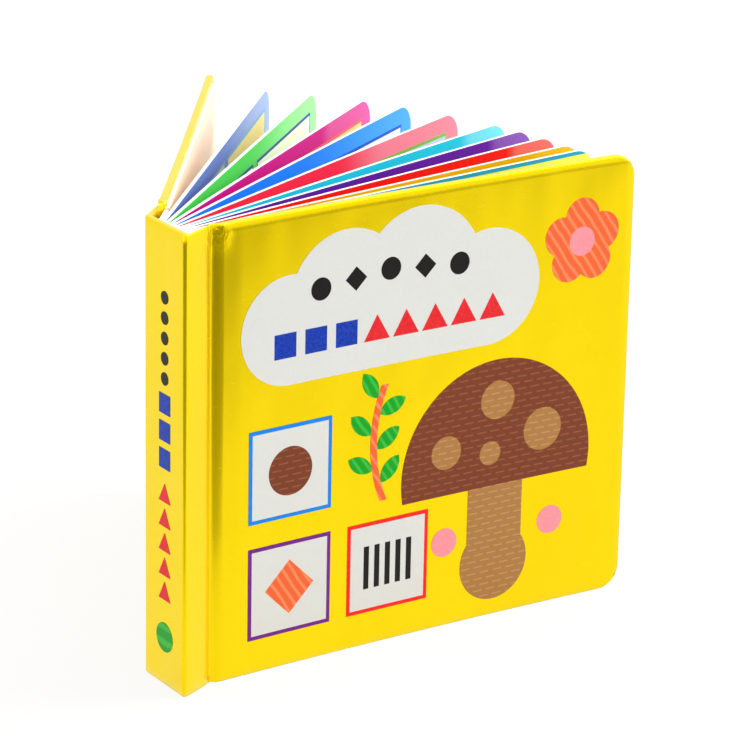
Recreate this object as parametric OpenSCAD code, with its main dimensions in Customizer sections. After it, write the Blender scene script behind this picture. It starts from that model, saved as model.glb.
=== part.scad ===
// A children's board book in a hard case, standing upright with its leaves fanned.
// Millimetres. X runs along the closed front cover, Y through the spine towards the back cover, Z is up.
// The origin is the middle of the spine's foot.

/* [Case] */
// Height of the case
case_h = 185; // [120:1:260]
// From a hinge line to the cover's fore-edge
cover_len = 194.5; // [120:0.5:260]
// Thickness of the grey board in the covers and spine
board_t = 2.3; // [1.5:0.1:3]
// Thickness of the wrap, drawn a little thicker than the paper
wrap_t = 0.3; // [0.2:0.05:0.4]
// Radius of the covers' fore-edge corners
cover_r = 10; // [3:0.5:20]
// How far the wrap is turned in over the boards
turn_in = 15; // [8:1:25]
// Radius of the wrap round the spine's two corners
spine_r = 1.3; // [0.8:0.1:1.5]
// How far the front cover's middle lies behind a straight line
front_warp = 1.8; // [0.2:0.1:4]
// The same for the back cover
back_warp = 0.4; // [0.2:0.1:4]

/* [Joints] */
// Length of each shoulder, from the spine's corner to the groove
shoulder_len = 15; // [12:0.5:20]
// Slope of the front shoulder, inwards from the closed cover
front_slope = -25; // [-27:1:-15]
// Width of the groove on the spine's side of its bottom
groove_in = 2.6; // [2:0.1:4]
// Width of the groove on the board's side of its bottom
groove_out = 3.4; // [2.5:0.1:5]
// Depth of the groove below the shoulder's end
groove_drop = 2; // [1.5:0.1:2.5]
// Depth of the groove's bottom below the cover's outer face
groove_depth = 2.4; // [2:0.1:2.6]
// Radius of the fold at the bottom of each groove
fold_r = 0.4; // [0.3:0.05:0.5]
// Clearance round that fold
fold_clear = 0.2; // [0.1:0.05:0.3]
// How much further the back cover stands open than the last leaf
back_gap = 6.5; // [6:0.5:12]
// How much of the back cover's turn its groove takes, and not its shoulder
groove_turn = 12.5; // [8:0.5:15]

/* [Leaves] */
// Thickness of a board leaf
leaf_t = 1.35; // [1:0.05:1.4]
// How far the case stands past the leaves at head and foot
square = 2.5; // [1:0.5:5]
// The same at the fore-edge
fore_square = 3.8; // [1:0.2:6]
// Radius of the leaves' fore-edge corners
leaf_r = 10; // [3:0.5:20]
// Play between the front cover's pasted leaf and the first free leaf
leaf_play = 0.5; // [0.4:0.1:2]
// From the last free leaf to the spine's back corner
back_room = 6.5; // [5.5:0.5:12]
// Angle of each free leaf from the front cover, from the back of the book to the front
leaf_angles = [47, 41.5, 35, 30, 24, 17.5, 14, 10.5, 7, 5];
// Thickness of the fold that joins the leaves at the spine
fold_t = 1.5; // [1:0.1:3]

/* [Print] */
// Thickness of each field of colour
film_t = 0.15; // [0.1:0.05:0.2]
// Coloured border of a page, at head and foot
page_border = 7; // [4:0.5:12]
// Coloured border of a page, at the fore-edge
fore_border = 9; // [5:0.5:15]
// Share of a page's length where its two panels part
panel_split = 0.58; // [0.4:0.01:0.7]
// Gap between a page's two panels
panel_gap = 5; // [3:0.5:10]
// Side of the small framed pictures
picture = 38; // [30:1:42]
// Width of their frames
frame_w = 1.6; // [1:0.1:3]

/* [Hidden] */
FREE_LEAVES = len(leaf_angles);
FRONT_PRINTS = ["pale", "dark", "blue", "red", "brown", "tan", "green", "orange", "pink",
    "frame_blue", "frame_purple", "frame_red"];
SPINE_PRINTS = ["dark", "blue", "red", "green"];
$fn = 64;
FRONT = -1;
BACK = 1;
ARC_STEPS = 6;    // segments in a rounded bend of the wrap
WARP_STEPS = 12;  // segments along a warped cover
CUT = 1;          // how far a cutting shape runs past what it cuts
FIT = 0.1;        // between glued pieces that aren't flat on each other

cover_t = board_t + 2 * wrap_t;
spine_face = -(board_t / 2 + wrap_t);
spine_inner = board_t / 2 + wrap_t;
leaf_h = case_h - 2 * square;
hinge_gap = fold_r + fold_clear;
leaf_gap = hinge_gap + 0.3;
back_open = leaf_angles[0] + back_gap;
back_slope = back_open - groove_turn;
// The front hinge and, from the spine's front corner, the front cover's face and the first free leaf
front_hinge_x = spine_face + shoulder_len * cos(front_slope) + groove_in;
front_dip = -shoulder_len * sin(front_slope) + groove_drop - groove_depth;
block_front = front_dip + cover_t + leaf_t + leaf_play
    - (front_hinge_x + leaf_gap - spine_inner) * tan(leaf_angles[FREE_LEAVES - 1]);
spine_w = block_front + FREE_LEAVES * leaf_t + back_room;
front_face = -spine_w / 2;
leaf_len = front_hinge_x + cover_len - fore_square - spine_inner;

// Colours, as seen in plain light
YELLOW = [0.99, 0.86, 0.05];
WHITE = [0.97, 0.97, 0.96];
GREY = [0.62, 0.6, 0.57];
PAGE_COLOURS = [[0.98, 0.91, 0.81], [0.49, 0.6, 0.83], [0.35, 0.85, 0.37], [0.78, 0.06, 0.56],
    [0.18, 0.57, 0.96], [0.97, 0.24, 0.35], [0.17, 0.81, 0.9], [0.41, 0.13, 0.63],
    [0.96, 0.18, 0.1], [0.93, 0.75, 0.03], [0.35, 0.68, 0.9]];
PANELS_CREAM = [2, 4, 6, 8, 10];
PANELS_YELLOW = [1, 3, 7];
PANELS_BLUE = [5, 9];
CREAM = [0.99, 0.98, 0.9];
PALE_YELLOW = [0.98, 0.88, 0.5];
PALE_BLUE = [0.72, 0.82, 0.94];

// Plane geometry
function unit(v) = v / norm(v);
function dir(a) = [cos(a), sin(a)];
function turned(p, a) = [p[0] * cos(a) - p[1] * sin(a), p[0] * sin(a) + p[1] * cos(a)];
function left_of(p, q) = let (d = unit(q - p)) [-d[1], d[0]];
function mitre(path, i) =
    i == 0 ? left_of(path[0], path[1])
    : i == len(path) - 1 ? left_of(path[i - 1], path[i])
    : let (a = left_of(path[i - 1], path[i]), b = left_of(path[i], path[i + 1]), m = unit(a + b))
        m / (m * a);
function beside(path, d) = [for (i = [0:len(path) - 1]) path[i] + d * mitre(path, i)];
function reversed(path) = [for (i = [len(path) - 1:-1:0]) path[i]];
function ribbon(path, d0, d1) = concat(beside(path, d0), reversed(beside(path, d1)));
// Points of an arc of radius r that rounds the corner q between p and s
function rounded(p, q, s, r) =
    let (a = unit(p - q), b = unit(s - q), half = acos(a * b) / 2,
        c = q + unit(a + b) * r / sin(half),
        start = q + a * r / tan(half) - c, finish = q + b * r / tan(half) - c,
        side = start[0] * finish[1] - start[1] * finish[0] > 0 ? 1 : -1,
        sweep = side * (180 - 2 * half))
    [for (i = [0:ARC_STEPS]) c + turned(start, sweep * i / ARC_STEPS)];

// Each side of the book in its own plane: X as in the part, and the second value outwards from the spine's middle
function slope(s) = s == FRONT ? front_slope : back_slope;
function opened(s) = s == FRONT ? 0 : back_open;
function warp(s) = s == FRONT ? front_warp : back_warp;
function corner(s) = [spine_face, spine_w / 2];
function shoulder_end(s) = corner(s) + shoulder_len * dir(slope(s));
function hinge(s) = shoulder_end(s) + turned([groove_in, -groove_drop], opened(s));
function in_part(s, p) = [p[0], s * p[1]];
// A point of a cover's own plane, u along it from the hinge and v outwards from its face, in its side's plane
function from_cover(s, p) = hinge(s) + turned(p + [0, groove_depth], opened(s));
// The outer face of a cover from above
function cover_face(s) = [for (i = [0:WARP_STEPS])
    let (share = i / WARP_STEPS) [cover_len * share, -4 * warp(s) * share * (1 - share)]];

module on_side(s) {
    if (s == FRONT) mirror([0, 1, 0]) children();
    else children();
}

module in_cover(s) {
    on_side(s) translate(hinge(s)) rotate(opened(s)) translate([0, groove_depth]) children();
}

// A layer of a cover, between two depths below its outer face
module layer(s, near, far, height = case_h) {
    linear_extrude(height) polygon(ribbon(cover_face(s), -near, -far));
}

// An upright prism over an outline that lies in u and z
module upright(depth, thick) {
    translate([0, depth, 0]) rotate([90, 0, 0]) linear_extrude(thick) children();
}

// A page's outline: square at the spine, rounded at the fore-edge
module page_outline(start, finish, low, high, r) {
    translate([start, low]) square([finish - start - r, high - low]);
    translate([start, low + r]) square([finish - start, high - low - 2 * r]);
    for (z = [low + r, high - r]) translate([finish - r, z]) circle(r);
}

// What lies under an outline within one layer of a cover
module cover_piece(s, near, far) {
    intersection() {
        layer(s, near, far);
        upright(CUT - near + FIT, far - near + 2 * CUT + warp(s)) children();
    }
}

// Boards
module cover_board(s) {
    in_cover(s) cover_piece(s, wrap_t, wrap_t + board_t)
        page_outline(groove_out, cover_len - wrap_t, wrap_t, case_h - wrap_t, cover_r - wrap_t);
}

module front_board() {
    color(GREY) cover_board(FRONT);
}

module back_board() {
    color(GREY) cover_board(BACK);
}

// The spine's board stops short of the wrap's bend and of the doubled paper inside the shoulder
function board_end(s) = spine_w / 2 - max(spine_r, spine_r / tan((90 + slope(s)) / 2),
    2 * wrap_t / cos(slope(s)) - (board_t + wrap_t) * tan(slope(s)) + FIT);

module along_spine(depth, thick, low, tall) {
    translate([depth, -board_end(FRONT), low]) cube([thick, board_end(FRONT) + board_end(BACK), tall]);
}

module spine_board() {
    color(GREY) along_spine(-board_t / 2, board_t, wrap_t, case_h - 2 * wrap_t);
}

// The wrap over one cover: outer sheet, edges and turn-ins, and its side of the groove
module cover_wrap(s) {
    in_cover(s) {
        difference() {
            union() {
                cover_piece(s, 0, cover_t) page_outline(groove_out - wrap_t, cover_len, 0, case_h, cover_r);
                linear_extrude(case_h) groove_flank();
                for (z = [0, case_h - turn_in]) translate([0, 0, z]) linear_extrude(turn_in) groove_lining();
            }
            cover_piece(s, wrap_t, wrap_t + board_t)
                page_outline(groove_out, cover_len - wrap_t, wrap_t, case_h - wrap_t, cover_r - wrap_t);
            cover_piece(s, wrap_t + board_t, cover_t + CUT) translate([-CUT, turn_in])
                square([cover_len - turn_in + CUT, case_h - 2 * turn_in]);
            translate([0, -groove_depth, -CUT]) cylinder(r = hinge_gap, h = case_h + 2 * CUT);
        }
    }
}

// The sheet from the hinge up to the board, and the turn-in under it
module groove_flank() {
    path = [[0, -groove_depth], [groove_out, 0]];
    polygon(ribbon(path, 0, -wrap_t));
}

module groove_lining() {
    path = [[0, -groove_depth], [groove_out, -cover_t + wrap_t / 2]];
    polygon(ribbon(path, wrap_t / 2, -wrap_t / 2));
}

module wrap_front() {
    color(YELLOW) cover_wrap(FRONT);
}

module wrap_back() {
    color(YELLOW) cover_wrap(BACK);
}

// The outer face of the spine's wrap from above, from the front hinge to the back hinge
function side_path(s) = [in_part(s, hinge(s)), in_part(s, shoulder_end(s))];
function spine_corner(s) = rounded(in_part(s, shoulder_end(s)), in_part(s, corner(s)), [spine_face, 0], spine_r);
function spine_path() = concat(side_path(FRONT), spine_corner(FRONT), reversed(spine_corner(BACK)),
    reversed(side_path(BACK)));

module wrap_spine() {
    color(YELLOW) {
        linear_extrude(case_h) polygon(ribbon(spine_path(), 0, -wrap_t));
        for (s = [FRONT, BACK]) {
            linear_extrude(case_h) translate(in_part(s, hinge(s))) circle(fold_r);
            for (z = [0, case_h - turn_in]) translate([0, 0, z]) linear_extrude(turn_in)
                polygon(ribbon(concat(side_path(s), [in_part(s, corner(s) + spine_r * dir(slope(s)))]),
                    s * wrap_t * 0.9, s * wrap_t * 2));
        }
        for (z = [0, case_h - wrap_t]) along_spine(spine_face + wrap_t / 2, cover_t - wrap_t / 2, z, wrap_t);
        for (z = [0, case_h - turn_in]) along_spine(spine_inner - wrap_t, wrap_t, z, turn_in);
    }
}

// Leaves. Leaf 1 is the furthest back
function leaf_angle(k) = leaf_angles[k - 1];
function leaf_root(k) = [spine_inner, front_face + block_front + (FREE_LEAVES - k) * leaf_t];

module in_leaf(k) {
    translate([leaf_root(k)[0], leaf_root(k)[1], square]) rotate(leaf_angle(k)) children();
}

// The pasted leaf's bend over the front shoulder, which fills it up to the first free leaf
module front_bend() {
    shoulder = side_path(FRONT);
    inside = beside([shoulder[1], in_part(FRONT, corner(FRONT))], -(2 * wrap_t + FIT));
    run = unit(shoulder[0] - shoulder[1]);
    stop = in_part(FRONT, hinge(FRONT)) - leaf_gap * run;
    line = inside[0] - inside[1];
    at_spine = inside[1] + line * (spine_inner - inside[1][0]) / line[0];
    lip = in_part(FRONT, from_cover(FRONT, [-leaf_gap, -cover_t - leaf_t]));
    polygon([at_spine, inside[0], [lip[0], stop[1] + 2 * wrap_t + FIT], lip, leaf_root(FREE_LEAVES)]);
}

// The pasted leaf's bend behind the last free leaf, up to the back hinge
module back_bend() {
    root = leaf_root(1) + [0, leaf_t / cos(leaf_angle(1))];
    lip = from_cover(BACK, [-leaf_gap, -cover_t - leaf_t]);
    polygon(ribbon([root, lip], -FIT, leaf_t));
}

// All the leaves from above, joined at the spine, with their ends trimmed flush there
module pages_plan() {
    difference() {
        union() {
            for (k = [1:FREE_LEAVES]) translate(leaf_root(k)) rotate(leaf_angle(k)) square([leaf_len, leaf_t]);
            translate(leaf_root(FREE_LEAVES) - [0, leaf_t]) square([fold_t, (FREE_LEAVES + 3) * leaf_t]);
            front_bend();
            back_bend();
        }
        translate([spine_inner - 2 * leaf_t, -spine_w / 2]) square([2 * leaf_t, spine_w]);
    }
}

// What is cut away to round a leaf's fore-edge corners. The circle crosses the leaf's edges a little
module leaf_corners() {
    for (top = [false, true]) difference() {
        translate([leaf_len - leaf_r, top ? leaf_h - leaf_r : -CUT]) square(leaf_r + CUT);
        translate([leaf_len - leaf_r, top ? leaf_h - leaf_r : leaf_r]) circle(leaf_r + FIT);
    }
}

module pages() {
    color(WHITE) difference() {
        translate([0, 0, square]) linear_extrude(leaf_h) pages_plan();
        for (k = [1:FREE_LEAVES]) in_leaf(k) upright(leaf_t + CUT, leaf_t + 2 * CUT) leaf_corners();
    }
}

module pasted_leaf(s) {
    in_cover(s) cover_piece(s, cover_t, cover_t + leaf_t)
        page_outline(leaf_gap, cover_len - fore_square, square, case_h - square, leaf_r);
}

module front_pasted_leaf() {
    color(WHITE) pasted_leaf(FRONT);
}

module back_pasted_leaf() {
    color(WHITE) pasted_leaf(BACK);
}

module pasted_print(s) {
    in_cover(s) cover_piece(s, cover_t + leaf_t, cover_t + leaf_t + film_t)
        page_outline(leaf_gap + FIT, cover_len - fore_square, square, case_h - square, leaf_r);
}

module front_pasted_print() {
    color(PAGE_COLOURS[10]) pasted_print(FRONT);
}

module back_pasted_print() {
    color(PAGE_COLOURS[0]) pasted_print(BACK);
}

// Print on the leaves. Two pages that face each other share a colour, which starts where the leaves have parted
function parted(k) =
    let (a = leaf_angle(k), b = k == FREE_LEAVES ? 0 : leaf_angle(k + 1),
        room = leaf_t / cos(b) - leaf_t + 4 * film_t)
    max(room / (tan(a) - tan(b)), fold_t) + fold_t;

module page_field(start) {
    difference() {
        page_outline(start, leaf_len, 0, leaf_h, leaf_r);
        page_panels(start);
    }
}

module page_panels(start) {
    part = leaf_len * panel_split;
    tall = leaf_h - 2 * page_border;
    translate([part, page_border]) square([leaf_len - fore_border - part, tall]);
    translate([max(start, leaf_len * 0.25) + page_border, page_border])
        square([part - panel_gap - max(start, leaf_len * 0.25) - page_border, tall]);
}

// The near page of leaf k and, across the gap from it, the far page of leaf k + 1
module spread(k) {
    if (k > 0) in_leaf(k) upright(0, film_t) children();
    if (k < FREE_LEAVES) in_leaf(k + 1) upright(leaf_t + film_t, film_t) children();
}

module page_print(k) {
    color(PAGE_COLOURS[k]) spread(k) page_field(parted(max(k, 1)));
}

module panels(spreads, shade) {
    color(shade) for (k = spreads) spread(k) page_panels(parted(k));
}

// Simple shapes for the print
module disc(at, r) {
    translate(at) circle(r);
}

module block(at, side, turn = 0) {
    translate(at) rotate(turn) square(side, center = true);
}

module triangle(at, r) {
    translate(at) polygon([for (a = [90, 210, 330]) r * dir(a)]);
}

// A pointed leaf: where two equal circles overlap
module sprig(at, length, turn) {
    r = length * 0.62;
    half = length / 2;
    apart = sqrt(r * r - half * half);
    translate(at) rotate(turn) intersection() {
        translate([half, -apart]) circle(r);
        translate([half, apart]) circle(r);
    }
}

// The cover's print is laid out on a sheet of this size, from the hinge and the foot, and printed to fit the cover
SHEET = [194.5, 185];
print_scale = min(cover_len / SHEET[0], case_h / SHEET[1]);
cloud_at = [82, 138];
cap_at = [132, 64];
cap_r = 45;
stem_foot = 16;
foot_z = 7;
berry_z = 36;
flower_at = [170, 152];
flower_r = 8;
pictures = [[16, 62], [16, 14], [62, 14]];
// The twig bends round the cap, with room between them for its leaves
twig_rise = 20;
twig_gap = 17;
twig_t = 3;
twig_at = cap_at + [2, twig_rise];
twig_r = cap_r + twig_gap;
sprig_len = 0.76 * twig_gap;

module cloud() {
    for (lobe = [[-48, 0, 22], [-22, 10, 26], [12, 12, 28], [44, 2, 24]])
        disc(cloud_at + [lobe[0], lobe[1]], lobe[2]);
    translate(cloud_at + [-48, -22]) square([92, 22]);
}

module dark_marks() {
    for (i = [0:4]) {
        at = cloud_at + [-34 + 16 * i, 17 - 1.5 * abs(i - 2)];
        if (i % 2 == 0) disc(at, 4.6);
        else block(at, 7, 45);
    }
}

module blue_marks() {
    for (i = [0:2]) block(cloud_at + [-50 + 14 * i, -6], 10);
}

module red_marks() {
    for (i = [0:4]) triangle(cloud_at + [-8 + 13.5 * i, -7.5], 7);
}

module cap() {
    intersection() {
        disc(cap_at, cap_r);
        translate(cap_at - [cap_r, 8]) square([2 * cap_r, cap_r + 8]);
    }
}

module cap_spots() {
    for (spot = [[0, 28, 8], [-24, 10, 7], [22, 12, 9], [-3, 6, 5]]) disc(cap_at + [spot[0], spot[1]], spot[2]);
}

module stem() {
    disc([cap_at[0], foot_z + stem_foot], stem_foot);
    translate([cap_at[0] - 13, foot_z + stem_foot]) square([26, cap_at[1] - foot_z - stem_foot]);
}

module berries() {
    for (x = [-24, 27]) disc([cap_at[0] + x, berry_z], 6);
}

module twig() {
    intersection() {
        difference() {
            disc(twig_at, twig_r);
            disc(twig_at, twig_r - twig_t);
        }
        translate(twig_at - [twig_r, 1.2 * twig_rise]) square([twig_r / 2, 2.4 * twig_rise]);
    }
}

module sprigs() {
    for (a = [162, 176, 190]) {
        sprig(twig_at + (twig_r - FIT) * dir(a), sprig_len, a - 40);
        sprig(twig_at + (twig_r - twig_t + FIT) * dir(a + 6), sprig_len, a + 220);
    }
}

module flower() {
    for (i = [0:4]) disc(flower_at + 10 * dir(90 + 72 * i), flower_r);
}

module picture_field(i) {
    translate(pictures[i]) square(picture);
}

module picture_inside(i) {
    translate(pictures[i] + [frame_w, frame_w]) square(picture - 2 * frame_w);
}

module picture_frame(i) {
    difference() {
        picture_field(i);
        picture_inside(i);
    }
}

module picture_shape(i) {
    translate(pictures[i] + [picture / 2, picture / 2]) {
        if (i == 0) circle(10);
        if (i == 1) rotate(45) square(16, center = true);
        if (i == 2) for (j = [-2:2]) translate([5 * j - 1.25, -9]) square([2.5, 18]);
    }
}

// One colour of the front's print. What lies on top is cut out of what is below it
module front_shape(name) {
    if (name == "pale") {
        difference() {
            cloud();
            dark_marks();
            blue_marks();
            red_marks();
        }
        for (i = [0:2]) difference() {
            picture_inside(i);
            picture_shape(i);
        }
    }
    if (name == "dark") {
        dark_marks();
        picture_shape(2);
    }
    if (name == "blue") blue_marks();
    if (name == "red") red_marks();
    if (name == "brown") {
        difference() {
            cap();
            cap_spots();
        }
        picture_shape(0);
    }
    if (name == "tan") {
        difference() {
            stem();
            cap();
        }
        cap_spots();
    }
    if (name == "green") difference() {
        sprigs();
        twig();
    }
    if (name == "orange") {
        difference() {
            flower();
            disc(flower_at, 6);
        }
        twig();
        picture_shape(1);
    }
    if (name == "pink") {
        berries();
        disc(flower_at, 6);
    }
    if (name == "frame_blue") picture_frame(0);
    if (name == "frame_purple") picture_frame(1);
    if (name == "frame_red") picture_frame(2);
}

FRONT_SHADES = [[0.91, 0.91, 0.89], [0.08, 0.07, 0.07], [0, 0.18, 0.63], [0.86, 0.08, 0.12],
    [0.45, 0.21, 0.1], [0.66, 0.46, 0.24], [0, 0.65, 0.08], [0.92, 0.37, 0.18], [0.98, 0.55, 0.59],
    [0, 0.49, 0.86], [0.43, 0.08, 0.51], [0.98, 0.1, 0.1]];

module front_print(i) {
    color(FRONT_SHADES[i]) in_cover(FRONT) cover_piece(FRONT, -film_t, 0)
        scale([print_scale, print_scale]) front_shape(FRONT_PRINTS[i]);
}

// The spine's print: plain marks in a row, read from the head down, and a disc near the foot
SPINE_SHEET = [29.5, 185];
spine_scale = min(spine_w / SPINE_SHEET[0], case_h / SPINE_SHEET[1]);
function up_spine(z) = [0, z * case_h / SPINE_SHEET[1] / spine_scale];

module spine_shape(name) {
    if (name == "dark") for (i = [0:4]) disc(up_spine(157 - 8 * i), 2.6);
    if (name == "blue") for (i = [0:2]) block(up_spine(115 - 11 * i), 8);
    if (name == "red") for (i = [0:4]) triangle(up_spine(78 - 10 * i), 5);
    if (name == "green") disc(up_spine(20), 6);
}

SPINE_SHADES = [[0.3, 0.18, 0.14], [0, 0.18, 0.63], [0.86, 0.08, 0.12], [0.12, 0.78, 0.16]];

module spine_print(i) {
    color(SPINE_SHADES[i]) translate([spine_face, 0, 0]) rotate([90, 0, -90]) linear_extrude(film_t)
        scale([spine_scale, spine_scale]) spine_shape(SPINE_PRINTS[i]);
}

wrap_front();
wrap_spine();
wrap_back();
front_board();
spine_board();
back_board();
pages();
front_pasted_leaf();
back_pasted_leaf();
front_pasted_print();
back_pasted_print();
for (k = [0:FREE_LEAVES]) page_print(k);
panels(PANELS_CREAM, CREAM);  // page_panels_cream
panels(PANELS_YELLOW, PALE_YELLOW);  // page_panels_yellow
panels(PANELS_BLUE, PALE_BLUE);  // page_panels_blue
for (i = [0:len(FRONT_PRINTS) - 1])
    front_print(i);
for (i = [0:len(SPINE_PRINTS) - 1])
    spine_print(i);
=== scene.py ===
"""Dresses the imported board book: the wrap over its case, its leaves, its pages and its print."""

import math

import bmesh
import bpy
from mathutils import Matrix, Vector, noise


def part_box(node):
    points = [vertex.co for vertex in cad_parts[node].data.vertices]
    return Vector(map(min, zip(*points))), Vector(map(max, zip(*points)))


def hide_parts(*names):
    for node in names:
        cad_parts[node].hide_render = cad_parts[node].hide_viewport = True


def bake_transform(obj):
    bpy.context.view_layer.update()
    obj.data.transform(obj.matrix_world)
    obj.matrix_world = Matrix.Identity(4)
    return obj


bl_info = {
    "name": "Hardcover Picture Book",
    "version": (1, 0, 0),
    "blender": (4, 5, 0),
    "location": "View3D > Sidebar > Picture Book",
    "description": "Makes the wrap of a standing board book and finishes its leaves and print",
    "category": "Object",
}

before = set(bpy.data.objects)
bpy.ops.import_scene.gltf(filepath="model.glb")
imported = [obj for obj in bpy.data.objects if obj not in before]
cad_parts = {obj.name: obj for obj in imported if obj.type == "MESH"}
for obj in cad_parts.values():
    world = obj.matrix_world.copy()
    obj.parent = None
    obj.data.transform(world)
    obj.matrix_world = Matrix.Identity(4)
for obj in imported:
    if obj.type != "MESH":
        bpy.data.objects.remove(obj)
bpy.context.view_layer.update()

MM = 0.001
FRONT = "front"
BACK = "back"
CASE_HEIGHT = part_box("wrap_spine")[1].z
# Points nearer to each other than this, in metres, count as one
TOUCHING = 1e-6


def linear(red, green, blue):
    """A colour as seen, from 0 to 255, as the linear colour that a shader takes."""
    def one(value):
        share = value / 255
        return share / 12.92 if share <= 0.04045 else ((share + 0.055) / 1.055) ** 2.4
    return (one(red), one(green), one(blue), 1.0)


def length(name, default, description):
    """A size in metres."""
    return bpy.props.FloatProperty(
        name=name, description=description, default=default, min=0.0, unit="LENGTH", precision=5)


def angle(name, degrees, description):
    """An angle that is typed in degrees."""
    return bpy.props.FloatProperty(
        name=name, description=description, default=math.radians(degrees), subtype="ANGLE")


def colour(name, red, green, blue, description):
    """A colour that is typed as it is seen, from 0 to 255."""
    return bpy.props.FloatVectorProperty(
        name=name, description=description, default=linear(red, green, blue), size=4,
        min=0.0, max=1.0, subtype="COLOR")


class BookCase(bpy.types.PropertyGroup):
    """Sizes of the case and of the wrap that covers it."""

    height: length("Height", CASE_HEIGHT, "Height of the case")
    spine_width: length("Spine Width", 29.447 * MM, "Width of the spine's outer face")
    cover_length: length("Cover Length", 194.5 * MM, "From a hinge to the cover's fore-edge")
    cover_thickness: length("Cover Thickness", 2.9 * MM, "Board with its wrap on both faces")
    shoulder: length("Shoulder", 15 * MM, "From the spine's corner to the groove")
    groove_in: length("Groove In", 2.6 * MM, "Width of the groove on the spine's side")
    groove_out: length("Groove Out", 3.0 * MM, "Width of the groove on the board's side")
    groove_drop: length("Groove Drop", 2.0 * MM, "Depth of the groove below the shoulder")
    groove_depth: length("Groove Depth", 2.4 * MM, "Depth of the groove below the cover's face")
    front_slope: angle("Front Slope", -25, "Slope of the front shoulder")
    back_slope: angle("Back Slope", 41, "Slope of the back shoulder")
    back_open: angle("Back Open", 53.5, "How far the back cover stands open")
    front_warp: length("Front Warp", 1.8 * MM, "How far the front cover's middle curves in")
    back_warp: length("Back Warp", 0.4 * MM, "How far the back cover's middle curves in")
    corner_radius: length("Corner Radius", 9.5 * MM, "Radius of the cover's fore-edge corners")
    rim_radius: length("Rim Radius", 0.8 * MM, "How softly the wrap turns over the boards")
    turn_in: length("Turn In", 8 * MM, "How far the wrap is turned in here")
    paper: length("Paper", 0.25 * MM, "Thickness of the wrap's paper")
    slack: length("Slack", 0.08 * MM, "How far the wrap is drawn down beside the grooves")
    crease: length("Crease", 1.2 * MM, "Height of the creases at the ends of the grooves")


class BookColours(bpy.types.PropertyGroup):
    """Colours of the wrap and of the board leaves."""

    wrap: colour("Wrap", 255, 224, 0, "The laminated wrap")
    wrap_deep: colour("Wrap Deep", 250, 209, 0, "The wrap where its film is thin")
    card: colour("Card", 250, 249, 246, "Cut edges of the board leaves")
    grey_board: colour("Grey Board", 158, 152, 145, "Board inside the case")


class BookStage(bpy.types.PropertyGroup):
    """The floor, the light and the camera."""

    lens: bpy.props.FloatProperty(
        name="Lens", description="Focal length on a 36 mm sensor", default=182.94, min=1.0)
    turn: angle("Turn", 33.679, "How far the camera stands round from the front cover")
    pitch: angle("Pitch", 19.431, "How far the camera looks down")
    roll: angle("Roll", 1.134, "How far the camera is tilted")
    eye: bpy.props.FloatVectorProperty(
        name="Eye", description="Where the camera stands", unit="LENGTH",
        default=(-0.6808, -1.1612, 0.6020))
    key: bpy.props.FloatProperty(
        name="Key", description="Power of the large softbox", default=1.0, unit="POWER")
    fill: bpy.props.FloatProperty(
        name="Fill", description="Power of the softbox beside the spine", default=5.0, unit="POWER")
    right: bpy.props.FloatProperty(
        name="Right", description="Power of the softbox that faces the pages", default=27.0, unit="POWER")
    top: bpy.props.FloatProperty(
        name="Top", description="Power of the softbox above the book", default=18.0, unit="POWER")
    sky: bpy.props.FloatProperty(
        name="Sky", description="Strength of the even light from all round", default=0.66)


# Short calls for shader nodes
def put(tree, node, name, value):
    """Sets one input of a node, or links it."""
    socket = node.inputs[name]
    if isinstance(value, bpy.types.NodeSocket):
        tree.links.new(value, socket)
    else:
        socket.default_value = value


def add(tree, kind, inputs=None, **settings):
    """A new node with its settings and inputs."""
    node = tree.nodes.new(kind)
    for name, value in settings.items():
        setattr(node, name, value)
    for name, value in (inputs or {}).items():
        put(tree, node, name, value)
    return node


def maths(tree, operation, first, second=0.0, third=0.0):
    """The result of one calculation."""
    node = add(tree, "ShaderNodeMath", {0: first, 1: second, 2: third}, operation=operation)
    return node.outputs[0]


def mixed(tree, factor, first, second, how="MIX"):
    """Two colours mixed."""
    node = tree.nodes.new("ShaderNodeMix")
    node.data_type = "RGBA"
    node.blend_type = how
    put(tree, node, 0, factor)
    put(tree, node, 6, first)
    put(tree, node, 7, second)
    return node.outputs[2]


def ranged(tree, value, low, high, out_low=0.0, out_high=1.0, smooth=False):
    """A value's place between two ends."""
    node = add(tree, "ShaderNodeMapRange", {
        "Value": value, "From Min": low, "From Max": high, "To Min": out_low, "To Max": out_high})
    if smooth:
        node.interpolation_type = "SMOOTHSTEP"
    return node.outputs[0]


def stepped(tree, value, steps):
    """A colour that changes at each of the given values, which run from low to high."""
    low = steps[0][0]
    high = steps[-1][0] + 1.0
    ramp = add(tree, "ShaderNodeValToRGB", {0: ranged(tree, value, low, high)})
    ramp.color_ramp.interpolation = "CONSTANT"
    stops = ramp.color_ramp.elements
    while len(stops) > 1:
        stops.remove(stops[-1])
    stops[0].position = 0.0
    stops[0].color = steps[0][1]
    for at, shade in steps[1:]:
        stop = stops.new((at - low) / (high - low))
        stop.color = shade
    return ramp.outputs[0]


def noisy(tree, vector, scale, detail=2.0, roughness=0.5):
    """Plain noise, about 0.5 on average."""
    node = add(tree, "ShaderNodeTexNoise", {
        "Vector": vector, "Scale": scale, "Detail": detail, "Roughness": roughness})
    return node.outputs["Fac"]


def stretched(tree, vector, scale, turn=(0.0, 0.0, 0.0)):
    """Coordinates that are scaled and turned."""
    node = add(tree, "ShaderNodeMapping", {"Vector": vector, "Rotation": turn, "Scale": scale})
    return node.outputs[0]


def object_coordinates(tree):
    """A point's place in the part, in metres."""
    return add(tree, "ShaderNodeTexCoord").outputs["Object"]


GROUPS = {}


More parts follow.
